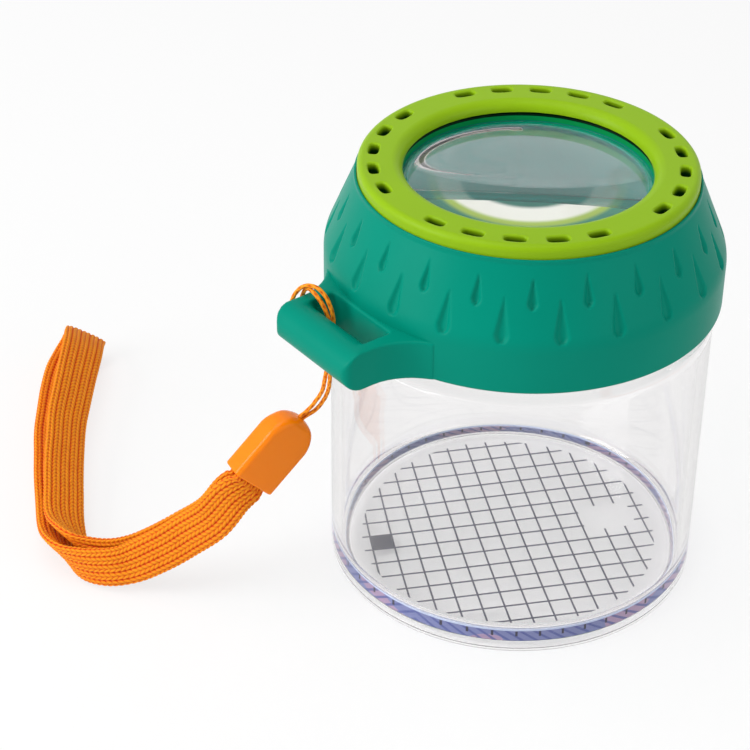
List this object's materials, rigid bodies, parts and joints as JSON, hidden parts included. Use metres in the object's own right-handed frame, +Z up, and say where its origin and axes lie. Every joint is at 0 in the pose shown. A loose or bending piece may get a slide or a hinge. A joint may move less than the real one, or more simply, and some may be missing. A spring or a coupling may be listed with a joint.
{
  "type": "bug catcher jar",
  "caption": "Clear round jar with a printed measuring grid under its floor, a turn-to-lock lid with air vents and a magnifying lens, and a wrist lanyard on the lid's lug.",
  "frame": {"origin": "centre of the foot ring, on the surface that the jar stands on", "axes": "+Z up along the jar's axis; -X from the axis towards the lid's lug"},
  "size_m": [0.1376, 0.1723, 0.1005],
  "materials": {
    "clear_jar": "clear, polished",
    "ink": "printed ink",
    "teal": "gloss",
    "lime": "satin gloss",
    "clear_lens": "clear, polished",
    "orange_cord": "braided cord",
    "orange_sleeve": "satin",
    "orange_braid": "flat tubular braid",
    "orange_thread": "sewing thread"
  },
  "bodies": {
    "jar": {"jar": "clear_jar", "measuring_grid": "ink"},
    "lens": {"magnifier_lens": "clear_lens"},
    "lid": {"lid_shell": "teal", "strap_lug": "teal", "vent_ring": "lime", "lanyard_cord": "orange_cord", "cord_knot": "orange_cord", "lanyard_sleeve": "orange_sleeve", "wrist_strap": "orange_braid", "strap_stitch": "orange_thread"}
  },
  "joints": [
    {"name": "lid_lift", "type": "slide", "parent": "jar", "child": "lens", "axis": [0, 0, 1], "range_m": [0, 0.05]},
    {"name": "lid_turn", "type": "hinge", "parent": "lens", "child": "lid", "pos_m": [0, 0, 0.0701], "axis": [0, 0, 1], "range_deg": [-30, 0]}
  ]
}
